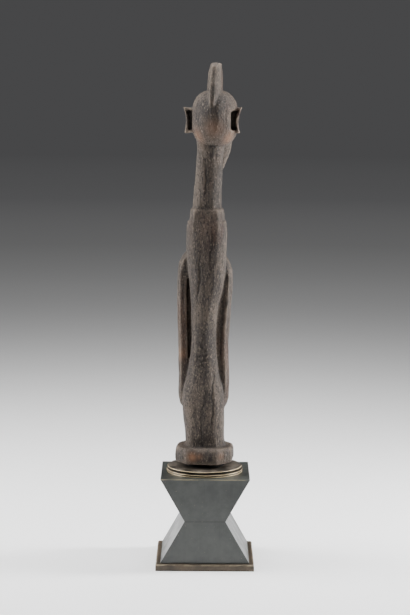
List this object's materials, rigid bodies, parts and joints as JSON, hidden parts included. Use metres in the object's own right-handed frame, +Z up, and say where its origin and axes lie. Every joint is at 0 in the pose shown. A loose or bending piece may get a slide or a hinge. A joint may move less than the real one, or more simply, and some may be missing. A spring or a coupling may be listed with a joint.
{
  "type": "ancestor figure on a plinth",
  "caption": "Carved wooden standing figure with crest and long curved arms, on discs and an hourglass plinth with a square plate.",
  "frame": {"origin": "middle of the plate's underside", "axes": "+Z up, the figure faces -Y, +X to the left of a viewer behind it"},
  "size_m": [0.15, 0.15, 0.766],
  "materials": {
    "plate_metal": "dark brown patina, worn bright along the upper edge",
    "plinth_metal": "dark grey-green satin patina",
    "disc_metal": "dulled brown metal with bright rims",
    "spacer_black": "matt black",
    "figure_wood": "dark weathered hardwood, crusty in the hollows and worn pale on the edges"
  },
  "bodies": {
    "root": {"base_plate": "plate_metal", "plinth_body": "plinth_metal", "lower_disc": "disc_metal", "upper_disc": "disc_metal", "spacer_block": "spacer_black", "ancestor_figure": "figure_wood"}
  },
  "joints": []
}
